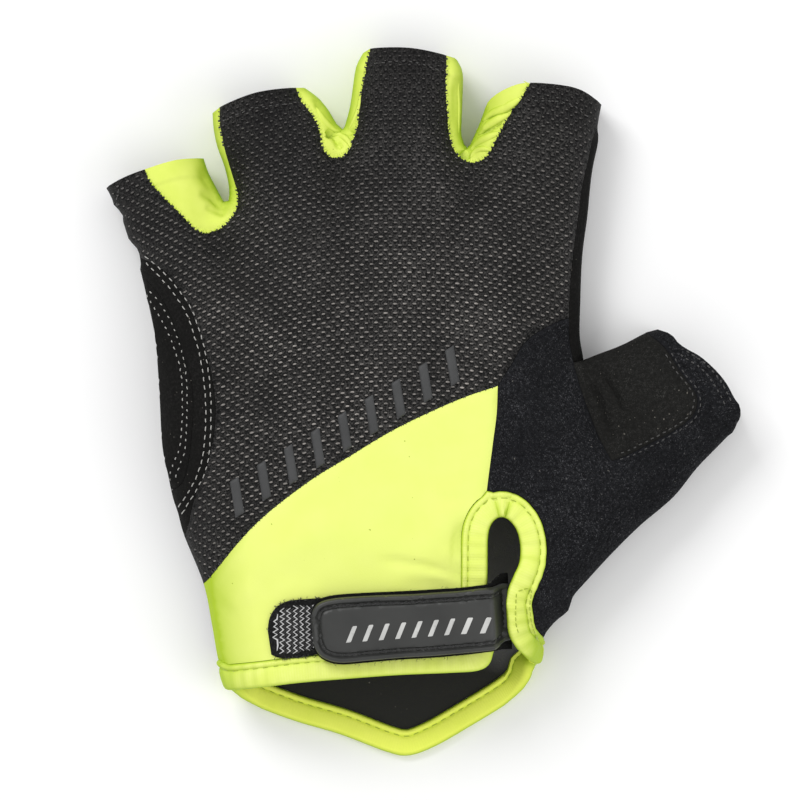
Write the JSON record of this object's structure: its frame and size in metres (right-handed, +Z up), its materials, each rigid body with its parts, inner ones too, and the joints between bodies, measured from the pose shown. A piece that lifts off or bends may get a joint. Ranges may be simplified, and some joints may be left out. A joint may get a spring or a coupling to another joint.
{
  "type": "cycling glove",
  "caption": "Left half-finger cycling glove lying palm down: mesh back, stretch cuff panel, finger gussets, taped cuff with a closing slit, and a hook-and-loop strap.",
  "frame": {"origin": "middle of the bounding box, on the surface that the glove lies on", "axes": "+X towards the thumb, +Y towards the fingers, +Z up out of the back of the hand"},
  "size_m": [0.1496, 0.167, 0.0295],
  "materials": {
    "black_mesh": "open knitted mesh, matt with small pale glints",
    "black_knit": "brushed terry knit, matt",
    "black_suede": "synthetic suede, matt",
    "neon_stretch": "smooth stretch knit, slight sheen",
    "neon_tape": "ribbed elastic tape, satin",
    "grey_rubber": "moulded rubber, satin",
    "black_backing": "woven backing with cut edges, matt",
    "loop_knit": "black and white looped knit"
  },
  "bodies": {
    "root": {"back_mesh_panel": "black_mesh", "back_stretch_panel": "neon_stretch", "thumb_knit_panel": "black_knit", "thumb_patch": "black_suede", "palm_panel": "black_suede", "edge_pad": "black_suede", "gusset_little_ring": "neon_stretch", "gusset_ring_middle": "neon_stretch", "gusset_middle_index": "neon_stretch", "cuff_binding_back": "neon_tape", "slit_binding": "neon_tape", "cuff_binding_palm": "neon_tape", "loop_patch": "loop_knit", "strap_backing": "black_backing", "closure_strap": "grey_rubber"}
  },
  "joints": []
}
